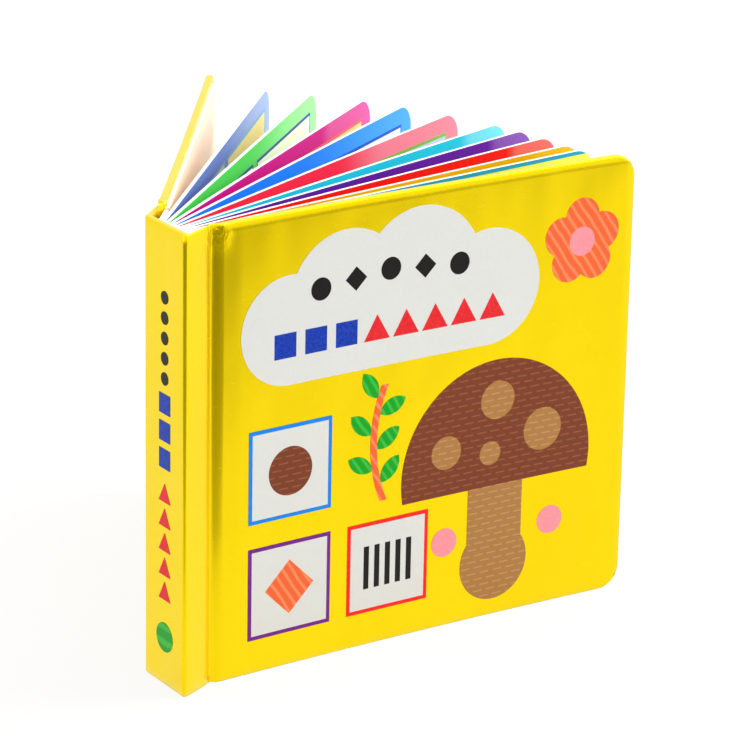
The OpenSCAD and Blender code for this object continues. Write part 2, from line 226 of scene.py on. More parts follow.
def new_group(name, inputs, outputs):
    """An empty node group with its named sockets, and its input and output nodes."""
    group = bpy.data.node_groups.new(name, "ShaderNodeTree")
    for label, kind, default in inputs:
        socket = group.interface.new_socket(label, in_out="INPUT", socket_type=kind)
        if default is not None:
            socket.default_value = default
    for label, kind in outputs:
        group.interface.new_socket(label, in_out="OUTPUT", socket_type=kind)
    GROUPS[name] = group
    return group, group.nodes.new("NodeGroupInput"), group.nodes.new("NodeGroupOutput")


def use_group(tree, name, inputs):
    """One use of a group, with its own values."""
    node = tree.nodes.new("ShaderNodeGroup")
    node.node_tree = GROUPS[name]
    for label, value in inputs.items():
        put(tree, node, label, value)
    return node


VECTOR = "NodeSocketVector"
FLOAT = "NodeSocketFloat"
COLOUR = "NodeSocketColor"

# How fine each texture is, in cells to the metre
WAVE_SCALE = 34.0
FOLD_SCALE = 420.0
PEEL_SCALE = 900.0
SCUFF_SCALE = 160.0
TINT_SCALE = 9.0
FIBRE_SCALE = 700.0
CROSS_FIBRE_SCALE = 500.0
SPECK_SCALE = 1500.0
MOTTLE_SCALE = 260.0
SCREEN_SCALE = 1400.0
GRAIN_SCALE = 900.0
RIB_SCALE = 90.0


def make_laminate_group():
    """Glossy film over print: long soft waves, fine orange peel, creases and a few faint scuffs."""
    group, given, result = new_group(
        "Laminate",
        [("Vector", VECTOR, None), ("Waves", FLOAT, 0.5), ("Gloss", FLOAT, 0.25), ("Creased", FLOAT, 0.0)],
        [("Height", FLOAT), ("Roughness", FLOAT), ("Tint", FLOAT)])
    at = given.outputs["Vector"]
    waves = noisy(group, stretched(group, at, (1.0, 1.0, 0.6)), WAVE_SCALE, 1.0)
    peel = noisy(group, at, PEEL_SCALE, 2.0)
    scuff_at = stretched(group, at, (1.0, 1.0, 6.0), (0.3, 0.5, 0.2))
    scuffs = ranged(group, noisy(group, scuff_at, SCUFF_SCALE, 3.0, 0.7), 0.68, 0.8)
    height = maths(group, "MULTIPLY", waves, given.outputs["Waves"])
    height = maths(group, "MULTIPLY_ADD", peel, 0.02, height)
    folds = noisy(group, stretched(group, at, (1.0, 1.0, 0.4)), FOLD_SCALE, 2.0, 0.6)
    height = maths(group, "MULTIPLY_ADD", folds, given.outputs["Creased"], height)
    rough = maths(group, "MULTIPLY_ADD", peel, 0.06, given.outputs["Gloss"])
    rough = maths(group, "MULTIPLY_ADD", scuffs, 0.12, rough)
    tint = ranged(group, noisy(group, at, TINT_SCALE, 2.0), 0.3, 0.7)
    group.links.new(height, result.inputs["Height"])
    group.links.new(rough, result.inputs["Roughness"])
    group.links.new(tint, result.inputs["Tint"])


def make_fibre_group():
    """Pressed card: fine fibres that lie along the sheet, with small specks."""
    group, given, result = new_group(
        "Card Fibre",
        [("Vector", VECTOR, None), ("Card", COLOUR, (1, 1, 1, 1)), ("Fibre", FLOAT, 0.5)],
        [("Colour", COLOUR), ("Height", FLOAT)])
    at = given.outputs["Vector"]
    long_fibres = noisy(group, stretched(group, at, (1.0, 1.0, 5.0)), FIBRE_SCALE, 3.0, 0.7)
    cross_at = stretched(group, at, (4.0, 4.0, 1.0))
    cross_fibres = noisy(group, cross_at, CROSS_FIBRE_SCALE, 3.0, 0.7)
    fibres = maths(group, "ADD", long_fibres, cross_fibres)
    fibres = maths(group, "MULTIPLY", fibres, 0.5)
    specks = ranged(group, noisy(group, at, SPECK_SCALE, 1.0), 0.66, 0.72)
    shade = maths(group, "MULTIPLY", fibres, given.outputs["Fibre"])
    shade = maths(group, "MULTIPLY_ADD", specks, 0.06, shade)
    darker = mixed(group, 0.8, given.outputs["Card"], (0.62, 0.58, 0.5, 1), "MULTIPLY")
    group.links.new(mixed(group, shade, given.outputs["Card"], darker), result.inputs["Colour"])
    group.links.new(fibres, result.inputs["Height"])


# The leaves spread from one upright line outside the spine
FAN_LINE = (-14.0 * MM, -6.6 * MM)
# How far from it a leaf's root lies at nought degrees, and how much further for each degree
ROOT = 15.1 * MM
ROOT_PER_DEGREE = 0.112 * MM


def make_fan_group():
    """Where a point lies in the fan of leaves: how far from its leaf's root, and at what angle."""
    group, given, result = new_group(
        "Leaf Fan",
        [("Vector", VECTOR, None)],
        [("Reach", FLOAT), ("Turn", FLOAT), ("Height", FLOAT)])
    split = add(group, "ShaderNodeSeparateXYZ", {0: given.outputs["Vector"]})
    along = maths(group, "SUBTRACT", split.outputs["X"], FAN_LINE[0])
    across = maths(group, "SUBTRACT", split.outputs["Y"], FAN_LINE[1])
    turn = maths(group, "DEGREES", maths(group, "ARCTAN2", across, along))
    squares = maths(group, "MULTIPLY_ADD", along, along, maths(group, "MULTIPLY", across, across))
    root = maths(group, "MULTIPLY_ADD", turn, ROOT_PER_DEGREE, ROOT)
    reach = maths(group, "SUBTRACT", maths(group, "SQRT", squares), root)
    group.links.new(reach, result.inputs["Reach"])
    group.links.new(turn, result.inputs["Turn"])
    group.links.new(split.outputs["Z"], result.inputs["Height"])


def make_ink_group():
    """Printed ink on coated card, painted paler towards the fore-edge as a painted sheen, and mottled a
    little.
    """
    group, given, result = new_group(
        "Page Ink",
        [("Vector", VECTOR, None), ("Reach", FLOAT, 0.0), ("Ink", COLOUR, (1, 1, 1, 1)),
            ("Pale", COLOUR, (1, 1, 1, 1)), ("From", FLOAT, 0.03), ("To", FLOAT, 0.2)],
        [("Colour", COLOUR), ("Height", FLOAT)])
    # Painted sheen: the ink is mixed towards its paler tone along the reach, from From to To
    share = maths(group, "SUBTRACT", given.outputs["Reach"], given.outputs["From"])
    run = maths(group, "SUBTRACT", given.outputs["To"], given.outputs["From"])
    share = ranged(group, maths(group, "DIVIDE", share, run), 0.0, 1.0, smooth=True)
    ink = mixed(group, share, given.outputs["Ink"], given.outputs["Pale"])
    mottle = noisy(group, given.outputs["Vector"], MOTTLE_SCALE, 3.0)
    tone = ranged(group, mottle, 0.3, 0.7, 0.0, 0.12)
    ink = mixed(group, tone, ink, (0.5, 0.5, 0.5, 1), "OVERLAY")
    dots = add(group, "ShaderNodeTexVoronoi", {
        "Vector": given.outputs["Vector"], "Scale": SCREEN_SCALE, "Randomness": 0.35})
    screen = ranged(group, dots.outputs["Distance"], 0.15, 0.6, 0.012, 0.0)
    ink = mixed(group, screen, ink, (1, 1, 1, 1))
    group.links.new(ink, result.inputs["Colour"])
    group.links.new(mottle, result.inputs["Height"])


def new_material(name):
    """A material with its shader, its tree and its object coordinates."""
    material = bpy.data.materials.new(name)
    material.use_nodes = True
    tree = material.node_tree
    return material, tree, tree.nodes["Principled BSDF"], object_coordinates(tree)


def bumped(tree, shader, height, strength, distance):
    """Gives the shader a relief."""
    bump = add(tree, "ShaderNodeBump", {
        "Height": height, "Strength": strength, "Distance": distance})
    tree.links.new(bump.outputs[0], shader.inputs["Normal"])


def finish_laminate(tree, shader, at, waves, gloss, creased=0.0, raised=None):
    """The film's gloss and relief. Gives back its uneven tint."""
    film = use_group(tree, "Laminate", {
        "Vector": at, "Waves": waves, "Gloss": gloss, "Creased": creased})
    tree.links.new(film.outputs["Roughness"], shader.inputs["Roughness"])
    height = film.outputs["Height"]
    if raised is not None:
        height = maths(tree, "ADD", height, raised)
    bumped(tree, shader, height, 0.35, 1.2 * MM)
    shader.inputs["Specular IOR Level"].default_value = 0.15
    shader.inputs["Coat Weight"].default_value = 0.08
    shader.inputs["Coat Roughness"].default_value = 0.1
    return film.outputs["Tint"]


def from_groove(tree, at):
    """How far a point lies from the nearer hinge."""
    case = bpy.context.scene.book_case
    split = add(tree, "ShaderNodeSeparateXYZ", {0: at})
    flat = add(tree, "ShaderNodeCombineXYZ", {0: split.outputs["X"], 1: split.outputs["Y"]})
    nearest = 1.0
    for side in (FRONT, BACK):
        plan = Plan(case, side)
        hinge = plan.in_part(plan.hinge)
        away = add(tree, "ShaderNodeVectorMath", {0: flat.outputs[0], 1: hinge}, operation="DISTANCE")
        nearest = maths(tree, "MINIMUM", away.outputs["Value"], nearest)
    return nearest


# Where the fine creases lie: their reach from the hinge, and from the case's head and foot
CREASES_BESIDE = (3 * MM, 10 * MM)
CREASES_AT_HEAD = (14 * MM, 3 * MM)
CREASES_AT_FOOT = 9 * MM
CREASES_FOOT_SHARE = 0.6

# The board's edge is felt through the wrap over this distance from the hinge
DRAWN_DOWN_OVER = (3.2 * MM, 13 * MM)
DRAWN_DOWN_BY = 0.7

# The wrap rolls off over this distance from a cover's edges
ROLLED_OFF_OVER = 4 * MM
ROLLED_OFF_BY = 2.2


def crease_mask(tree, at, away):
    """Where the wrap is creased: beside both grooves, at their heads and a little at their feet."""
    top = bpy.context.scene.book_case.height
    split = add(tree, "ShaderNodeSeparateXYZ", {0: at})
    height = split.outputs["Z"]
    beside = ranged(tree, away, *CREASES_BESIDE, 1.0, 0.0, smooth=True)
    head = ranged(tree, height, top - CREASES_AT_HEAD[0], top - CREASES_AT_HEAD[1], smooth=True)
    foot = ranged(tree, height, CREASES_AT_FOOT, 0.0, 0.0, CREASES_FOOT_SHARE, smooth=True)
    return maths(tree, "MULTIPLY", beside, maths(tree, "MAXIMUM", head, foot))


def drawn_down(tree, away):
    """The soft rise of the wrap beside a groove, where the board's edge is felt through it."""
    return ranged(tree, away, *DRAWN_DOWN_OVER, 0.0, DRAWN_DOWN_BY, smooth=True)


def rolled_off(tree, at):
    """The soft fall of the wrap towards the boards' head, foot and front fore-edge."""
    case = bpy.context.scene.book_case
    split = add(tree, "ShaderNodeSeparateXYZ", {0: at})
    head = ranged(tree, split.outputs["Z"], case.height - ROLLED_OFF_OVER, case.height)
    foot = ranged(tree, split.outputs["Z"], ROLLED_OFF_OVER, 0.0)
    tip = Plan(case, FRONT).fore_edge.x
    fore = ranged(tree, split.outputs["X"], tip - ROLLED_OFF_OVER, tip)
    edge = maths(tree, "MAXIMUM", maths(tree, "MAXIMUM", head, foot), fore)
    return maths(tree, "MULTIPLY", maths(tree, "POWER", edge, 2.0), ROLLED_OFF_BY)


def wrap_material():
    """Yellow metallised paper under gloss film, with short creases at the ends of the grooves."""
    hue = bpy.context.scene.book_colours
    material, tree, shader, at = new_material("Laminated Wrap")
    away = from_groove(tree, at)
    creased = maths(tree, "MULTIPLY", crease_mask(tree, at, away), 2.2)
    raised = maths(tree, "SUBTRACT", drawn_down(tree, away), rolled_off(tree, at))
    tint = finish_laminate(tree, shader, at, waves=3.0, gloss=0.22, creased=creased, raised=raised)
    yellow = mixed(tree, maths(tree, "MULTIPLY", tint, 0.35), hue.wrap[:], hue.wrap_deep[:])
    tree.links.new(yellow, shader.inputs["Base Color"])
    shader.inputs["Metallic"].default_value = 0.78
    return material


def card_material():
    """White pressed board, seen on the leaves' cut edges."""
    hue = bpy.context.scene.book_colours
    material, tree, shader, at = new_material("Leaf Board")
    card = use_group(tree, "Card Fibre", {"Vector": at, "Card": hue.card[:], "Fibre": 0.22})
    tree.links.new(card.outputs["Colour"], shader.inputs["Base Color"])
    bumped(tree, shader, card.outputs["Height"], 0.5, 0.08 * MM)
    shader.inputs["Roughness"].default_value = 0.7
    return material


def grey_board_material():
    """Grey board inside the case."""
    hue = bpy.context.scene.book_colours
    material, tree, shader, at = new_material("Grey Board")
    card = use_group(tree, "Card Fibre", {"Vector": at, "Card": hue.grey_board[:], "Fibre": 0.6})
    tree.links.new(card.outputs["Colour"], shader.inputs["Base Color"])
    bumped(tree, shader, card.outputs["Height"], 0.7, 0.2 * MM)
    shader.inputs["Roughness"].default_value = 0.9
    return material


# Each spread's ink, a paler tone of it for the painted sheen towards the fore-edge, and the reach in
# millimetres over which the painted sheen comes in
PAGE_INKS = [
    ((255, 230, 206), (253, 232, 212), (100, 190)),
    ((100, 130, 204), (160, 184, 232), (100, 190)),
    ((70, 212, 82), (158, 238, 156), (100, 190)),
    ((208, 4, 148), (222, 88, 170), (149, 161)),
    ((20, 136, 246), (66, 168, 252), (100, 190)),
    ((252, 40, 76), (252, 138, 154), (112, 150)),
    ((34, 208, 232), (124, 226, 240), (172, 181)),
    ((112, 34, 176), (150, 96, 196), (175, 183)),
    ((250, 30, 14), (250, 118, 106), (174, 182)),
    ((246, 198, 0), (250, 210, 30), (172, 184)),
    ((250, 246, 70), (252, 250, 100), (100, 190)),
]
# The last spread's border, from this height up
LAST_BORDER = (30, 164, 228)
LAST_BORDER_FROM = 180.9 * MM


def finish_page(tree, shader, inked):
    """The colour, relief and gloss of a printed page."""
    tree.links.new(inked.outputs["Colour"], shader.inputs["Base Color"])
    bumped(tree, shader, inked.outputs["Height"], 0.25, 0.05 * MM)
    shader.inputs["Roughness"].default_value = 0.42
    shader.inputs["Specular IOR Level"].default_value = 0.12


def page_material(spread):
    """Glossy printed card in one spread's colour, with a painted sheen towards the fore-edge."""
    # The pale tone is a painted sheen that the ink takes on towards the fore-edge
    ink, pale, sheen_over = PAGE_INKS[spread]
    material, tree, shader, at = new_material(f"Page Colour {spread}")
    fan = use_group(tree, "Leaf Fan", {"Vector": at})
    inks = [linear(*ink), linear(*pale)]
    if spread == len(PAGE_INKS) - 1:
        border = maths(tree, "GREATER_THAN", fan.outputs["Height"], LAST_BORDER_FROM)
        inks = [mixed(tree, border, shade, linear(*LAST_BORDER)) for shade in inks]
    finish_page(tree, shader, use_group(tree, "Page Ink", {
        "Vector": at, "Reach": fan.outputs["Reach"], "Ink": inks[0], "Pale": inks[1],
        "From": sheen_over[0] * MM, "To": sheen_over[1] * MM}))
    return material


# For each kind of panel: its colour, and for the leaves from the front of the book to the back
# the angle from which they start, in degrees, and their keyline and dot colours
PANELS = {
    "page_panels_cream": ((255, 254, 234), [
        (0.0, (250, 140, 40), (120, 190, 60)),
        (6.2, (40, 160, 220), (235, 90, 60)),
        (12.8, (250, 120, 150), (90, 170, 60)),
        (21.0, (6, 88, 198), (120, 60, 150)),
        (32.5, (20, 70, 160), (240, 140, 40))]),
    "page_panels_yellow": ((255, 238, 142), [
        (0.0, (160, 60, 170), (60, 160, 220)),
        (20.0, (240, 110, 130), (235, 90, 60)),
        (38.0, (110, 180, 230), (150, 200, 50))]),
    "page_panels_blue": ((190, 214, 240), [
        (0.0, (235, 90, 60), (250, 200, 50)),
        (12.0, (120, 200, 60), (240, 120, 60))]),
}


# A page's two panels inside their keylines: where they lie along the leaf, and their heights
FIELDS = ((59.4 * MM, 112.2 * MM), (119.6 * MM, 193.8 * MM))
FIELD_HEIGHTS = (10.8 * MM, 174.2 * MM)
# The dots stand in two rows, at this reach less and plus the next number
DOTS_MIDDLE = 121.5 * MM
DOTS_ASIDE = 35.5 * MM
LOWEST_DOT = 37.5 * MM
HALF_DOT_STEP = 27.5 * MM
DOT_RADIUS = 10 * MM


def within(tree, value, low, high):
    """One where a value lies between two others, and else nought."""
    above = maths(tree, "GREATER_THAN", value, low)
    return maths(tree, "MULTIPLY", above, maths(tree, "LESS_THAN", value, high))


def panel_material(node):
    """Pale panels, each with a keyline at its border and one upright row of plain dots."""
    ground, spreads = PANELS[node]
    material, tree, shader, at = new_material(node.replace("_", " ").title())
    fan = use_group(tree, "Leaf Fan", {"Vector": at})
    reach, height = fan.outputs["Reach"], fan.outputs["Height"]
    lines = stepped(tree, fan.outputs["Turn"], [(s[0], linear(*s[1])) for s in spreads])
    motifs = stepped(tree, fan.outputs["Turn"], [(s[0], linear(*s[2])) for s in spreads])
    inner = None
    for span in FIELDS:
        field = maths(
            tree, "MULTIPLY", within(tree, reach, *span), within(tree, height, *FIELD_HEIGHTS))
        inner = field if inner is None else maths(tree, "ADD", inner, field)
    keyline = maths(tree, "SUBTRACT", 1.0, inner)
    beside = maths(tree, "ABSOLUTE", maths(tree, "SUBTRACT", reach, DOTS_MIDDLE))
    beside = maths(tree, "SUBTRACT", beside, DOTS_ASIDE)
    above = maths(tree, "PINGPONG", maths(tree, "SUBTRACT", height, LOWEST_DOT), HALF_DOT_STEP)
    squares = maths(tree, "MULTIPLY_ADD", beside, beside, maths(tree, "MULTIPLY", above, above))
    motif = maths(tree, "LESS_THAN", maths(tree, "SQRT", squares), DOT_RADIUS)
    shade = mixed(tree, motif, linear(*ground), motifs)
    shade = mixed(tree, keyline, shade, lines)
    finish_page(tree, shader, use_group(tree, "Page Ink", {
        "Vector": at, "Reach": reach, "Ink": shade, "Pale": shade}))
    return material


# Ink, a second tone of it, and how that tone lies on the field
COVER_INKS = {
    "pale": ((213, 214, 209), (220, 221, 216), "grain"),
    "dark": ((18, 15, 14), (34, 29, 27), "grain"),
    "blue": ((0, 45, 160), (30, 90, 200), "grain"),
    "red": ((220, 20, 30), (240, 70, 70), "grain"),
    "brown": ((118, 56, 28), (150, 84, 48), "dashes"),
    "tan": ((168, 118, 62), (190, 142, 88), "dashes"),
    "green": ((0, 158, 24), (60, 190, 60), "ribs"),
    "orange": ((235, 96, 46), (246, 140, 90), "ribs"),
    "pink": ((250, 140, 150), (255, 170, 176), "grain"),
    "frame_blue": ((0, 125, 220), (40, 150, 235), "grain"),
    "frame_purple": ((110, 20, 130), (140, 50, 160), "grain"),
    "frame_red": ((250, 20, 20), (250, 70, 60), "grain"),
}


def tone_mask(tree, at, how):
    """Where an ink's second tone shows."""
    if how == "dashes":
        flat = stretched(tree, at, (1.0, 1.0, 1.0), (math.radians(90), 0.0, 0.0))
        brick = add(tree, "ShaderNodeTexBrick", {
            "Vector": flat, "Scale": 1.0, "Mortar Size": 1.1 * MM, "Mortar Smooth": 0.2,
            "Brick Width": 6.2 * MM, "Row Height": 2.6 * MM}, offset=0.5)
        return maths(tree, "SUBTRACT", 1.0, brick.outputs["Fac"])
    if how == "ribs":
        ribs = add(tree, "ShaderNodeTexWave", {
            "Vector": stretched(tree, at, (1.0, 1.0, 1.0), (0.0, 0.6, 0.0)), "Scale": RIB_SCALE,
            "Distortion": 2.0})
        return ranged(tree, ribs.outputs["Fac"], 0.55, 0.9)
    return ranged(tree, noisy(tree, at, GRAIN_SCALE, 2.0), 0.4, 0.75, 0.0, 0.45)


def cover_ink_material(name):
    """Ink under the wrap's film."""
    ink, tone, how = COVER_INKS[name]
    material, tree, shader, at = new_material(f"Cover Ink {name}".title())
    finish_laminate(tree, shader, at, waves=0.9, gloss=0.3)
    mask = maths(tree, "MULTIPLY", tone_mask(tree, at, how), 0.8)
    tree.links.new(mixed(tree, mask, linear(*ink), linear(*tone)), shader.inputs["Base Color"])
    return material


# The wrap, one half at a time
# Plans are in the side's own plane, where y runs outwards from the spine's middle
def heading(turn):
    """The direction at an angle."""
    return Vector((math.cos(turn), math.sin(turn)))


# Radii of the wrap's bends
FRONT_SPINE_BEND = 2.04 * MM
BACK_SPINE_BEND = 0.75 * MM
SHOULDER_BEND = 1.8 * MM
HINGE_BEND = 1.3 * MM
BOARD_BEND = 1.6 * MM

# Thickness of the shoulder's doubled paper, in papers
DOUBLED = 2.4

# How far before the spine's corner the inner face starts to turn
TURN_FROM = 2.04 * MM

# The inner face is straight no nearer to the spine's corner than this
STRAIGHT_TO = 0.6 * MM

# Where the slack beside a groove starts, from the hinge, and how far it runs past the board's edge
SLACK_FROM = 1 * MM
SLACK_OVER = 9 * MM


class Plan:
    """The wrap's outer face from above, on one side of the book."""

    def __init__(self, case, side):
        self.case = case
        self.sign = -1 if side == FRONT else 1
        self.slope = case.front_slope if side == FRONT else case.back_slope
        self.opened = 0.0 if side == FRONT else case.back_open
        self.warp = case.front_warp if side == FRONT else case.back_warp
        self.half = case.cover_thickness / 2
        self.middle = Vector((-self.half, 0.0))
        self.corner = Vector((-self.half, case.spine_width / 2))
        self.shoulder_end = self.corner + case.shoulder * heading(self.slope)
        self.hinge = self.shoulder_end + self.spin((case.groove_in, -case.groove_drop))
        self.board_edge = self.hinge + self.spin((case.groove_out, case.groove_depth))
        self.fore_edge = self.hinge + self.spin((case.cover_length, case.groove_depth))
        self.set_inner_corner()

    def spin(self, point):
        """A cover's own direction, in this plane."""
        x, y = point
        c, s = math.cos(self.opened), math.sin(self.opened)
        return Vector((x * c - y * s, x * s + y * c))

    def set_inner_corner(self):
        """Where the inside of the shoulder's doubled paper meets the inside of the spine."""
        self.shoulder_in = Vector((math.sin(self.slope), -math.cos(self.slope)))
        self.doubled = DOUBLED * self.case.paper
        line = self.corner + self.doubled * self.shoulder_in
        run = (self.half - line.x) / math.cos(self.slope)
        self.inner_corner = line + run * heading(self.slope)
        self.bisector = (heading(self.slope) + Vector((0.0, 1.0))).normalized()
        self.fan_start = -TURN_FROM * self.bisector.y
        fan_end = self.inner_corner - self.doubled * self.shoulder_in
        self.fan_end = (fan_end - self.corner).dot(self.bisector)

    def in_cover(self, point):
        """A plan point as its place along the cover and out from the cover's face."""
        away = point - self.hinge
        c, s = math.cos(self.opened), math.sin(self.opened)
        return Vector((away.x * c + away.y * s, away.y * c - away.x * s - self.case.groove_depth))

    def to_inside(self, point):
        """From a point of the outer face to the inner face that lies under it."""
        along, out = self.in_cover(point)
        cover_in = self.spin((0.0, -1.0))
        if along >= 0:
            return cover_in * (out + self.case.cover_thickness + self.sink(along))
        place = (point - self.corner).dot(self.bisector)
        if place <= self.fan_start:
            return Vector((2 * self.half, 0.0))
        if place < self.fan_end:
            share = (place - self.fan_start) / (self.fan_end - self.fan_start)
            start = min(self.corner.y - STRAIGHT_TO, self.inner_corner.y)
            inner = Vector((self.half, start + share * (self.inner_corner.y - start)))
            return inner - point
        share = min(1.0, max(0.0, 1 + along / self.case.groove_in))
        return self.shoulder_in.lerp(cover_in, share).normalized() * self.doubled

    def sink(self, along):
        """How far a warped cover lies behind a straight line."""
        share = min(1.0, max(0.0, along / self.case.cover_length))
        return 4 * self.warp * share * (1 - share)

    def slack(self, along):
        """How far the wrap is drawn down where it leaves the board for the groove."""
        beyond = max(0.0, along - self.case.groove_out) / SLACK_OVER
        return self.case.slack * max(0.0, 1 - beyond) ** 2 if along > SLACK_FROM else 0.0

    def in_part(self, point, z=0.0):
        """A plan point in the part's own frame."""
        return Vector((point.x, self.sign * point.y, z))

    def from_part(self, point):
        """The plan point of a point of the part."""
        return Vector((point.x, self.sign * point.y))


def upright_edges(bm, plan, corner):
    """The upright edges at one corner of the plan."""
    place = plan.in_part(corner)
    return [e for e in bm.edges if all((v.co.xy - place.xy).length < TOUCHING for v in e.verts)]


def round_corner(bm, plan, corner, offset, segments):
    """Rounds one upright corner."""
    bmesh.ops.bevel(bm, geom=upright_edges(bm, plan, corner), offset=offset, offset_type="OFFSET",
        segments=segments, profile=0.5, affect="EDGES", material=-1)


def cut(bm, place, normal):
    """One cut across the whole sheet."""
    everything = bm.verts[:] + bm.edges[:] + bm.faces[:]
    bmesh.ops.bisect_plane(bm, geom=everything, plane_co=place, plane_no=normal, dist=TOUCHING)


def fold_sheet(bm, plan):
    """A flat strip of paper stood up and folded round the spine, the shoulder and the cover."""
    case = plan.case
    stops = [plan.middle, plan.corner, plan.shoulder_end, plan.hinge, plan.board_edge, plan.fore_edge]
    verts = [bm.verts.new(plan.in_part(stop)) for stop in stops]
    edges = [bm.edges.new(pair) for pair in zip(verts, verts[1:])]
    made = bmesh.ops.extrude_edge_only(bm, edges=edges)
    raised = [v for v in made["geom"] if isinstance(v, bmesh.types.BMVert)]
    bmesh.ops.translate(bm, verts=raised, vec=(0, 0, case.height))
    end = plan.in_part(plan.fore_edge)
    tips = [v for v in bm.verts if (v.co.xy - end.xy).length < TOUCHING]
    bmesh.ops.bevel(bm, geom=tips, offset=case.corner_radius, offset_type="OFFSET", segments=16,
        profile=0.5, affect="VERTICES", material=-1)
    spine_bend = FRONT_SPINE_BEND if plan.sign < 0 else BACK_SPINE_BEND
    round_corner(bm, plan, plan.corner, spine_bend, segments=6)
    round_corner(bm, plan, plan.shoulder_end, SHOULDER_BEND, segments=6)
    round_corner(bm, plan, plan.hinge, HINGE_BEND, segments=8)
    round_corner(bm, plan, plan.board_edge, BOARD_BEND, segments=8)


# Where the sheet is cut, in millimetres: distances from the hinge, and heights
COVER_CUTS = [4.2, 6, 7.2, 9, 11, 14, 22, 34, 48, 62, 76, 90, 104, 118, 132, 146, 160, 172, 182, 189, 192.3]
LEVEL_CUTS = [2.4, 4, 6.5, 10, 15, 22, 34, 50, 66, 82, 98, 114, 130, 144, 156, 164, 170]
HEAD_CUTS = [173, 175.5, 177.5, 179, 180.3, 181.5, 182.6]


def cut_sheet(bm, plan):
    """Cuts the sheet finely enough to curve and crease it."""
    along = plan.spin((1.0, 0.0))
    normal = plan.in_part(along)
    for u in COVER_CUTS:
        cut(bm, plan.in_part(plan.hinge + u * MM * along), normal)
    for z in LEVEL_CUTS + HEAD_CUTS:
        cut(bm, Vector((0, 0, z * MM)), Vector((0, 0, 1)))


# The middle and reach of the raised creases beside a groove, and their reach from its head
RAISED_MIDDLE = 1.5 * MM
RAISED_BESIDE = 7 * MM
RAISED_FROM_HEAD = 16 * MM
# At the foot they reach less far by this factor
RAISED_FOOT = 1.6


def crease_at(plan, along, z):
    """How far the wrap stands out at a crease near the groove's head or foot."""
    case = plan.case
    near_groove = max(0.0, 1 - abs(along - RAISED_MIDDLE) / RAISED_BESIDE)
    from_end = min(case.height - z, RAISED_FOOT * z)
    near_end = max(0.0, 1 - from_end / RAISED_FROM_HEAD) ** 1.5
    wave = abs(noise.noise(Vector((along * 260 + z * 90, z * 240, plan.sign * 3.0))))
    return case.crease * wave * near_end * near_groove


def shape_sheet(bm, plan):
    """Curves the cover and creases the ends of the groove."""
    outward = plan.in_part(plan.spin((0.0, 1.0)))
    for vert in bm.verts:
        along, out = plan.in_cover(plan.from_part(vert.co))
        if along > 0:
            vert.co -= outward * (plan.sink(along) + plan.slack(along))
        vert.co += outward * crease_at(plan, along, vert.co.z)


def open_edges(bm, plan):
    """The sheet's edges at its head, foot and fore-edge."""
    middle = plan.in_part(plan.middle)
    found = []
    for edge in bm.edges:
        at_middle = all((v.co.xy - middle.xy).length < TOUCHING for v in edge.verts)
        if edge.is_boundary and not at_middle:
            found.append(edge)
    return found


def outward_at(vert, edges):
    """The direction out of the sheet at one point of its edge."""
    total = Vector()
    for edge in vert.link_edges:
        if edge in edges:
            face = edge.link_faces[0]
            away = (edge.verts[1].co - edge.verts[0].co).cross(face.normal).normalized()
            middle = (edge.verts[0].co + edge.verts[1].co) / 2
            total += away if (middle - face.calc_center_median()).dot(away) > 0 else -away
    return total.normalized()


# Angles of the steps by which the wrap bends over the outer arris and then the inner one
OUTER_ARRIS = (30, 60, 90)
INNER_ARRIS = (0, 30, 60, 90)
# Two more steps lay it flat inside
RIM_STEPS = len(OUTER_ARRIS) + len(INNER_ARRIS) + 2


def rim_steps(radius, thickness, turn_in):
    """The wrap's way over an edge: how far out and how far in, from the outer face on."""
    steps = []
    for degrees in OUTER_ARRIS:
        bend = math.radians(degrees)
        steps.append((radius * math.sin(bend), radius * (1 - math.cos(bend))))
    for degrees in INNER_ARRIS:
        bend = math.radians(degrees)
        steps.append((radius * math.cos(bend), thickness - radius * (1 - math.sin(bend))))
    steps.append((-0.3 * turn_in, thickness))
    steps.append((-turn_in, thickness))
    return steps


def turn_over_edges(bm, plan):
    """Turns the sheet in over the boards, all round, as a binder does."""
    case = plan.case
    bm.normal_update()
    edges = open_edges(bm, plan)
    chosen = set(edges)
    starts = {}
    for vert in {v for e in edges for v in e.verts}:
        inside = plan.in_part(plan.to_inside(plan.from_part(vert.co)))
        thickness = inside.length
        radius = min(case.rim_radius, 0.46 * thickness)
        out = outward_at(vert, chosen)
        starts[vert] = (vert.co - out * radius, out, inside.normalized(), thickness, radius)
    for vert, start in starts.items():
        vert.co = start[0]
    for step in range(RIM_STEPS):
        made = bmesh.ops.extrude_edge_only(bm, edges=edges)
        fresh = {v for v in made["geom"] if isinstance(v, bmesh.types.BMVert)}
        moved = {}
        for vert in fresh:
            old = next(e.other_vert(vert) for e in vert.link_edges if e.other_vert(vert) in starts)
            base, out, inside, thickness, radius = starts[old]
            away, depth = rim_steps(radius, thickness, case.turn_in)[step]
            vert.co = base + out * away + inside * depth
            moved[vert] = starts[old]
        edges = [e for e in made["geom"] if isinstance(e, bmesh.types.BMEdge)
            and all(v in fresh for v in e.verts)]
        starts = moved


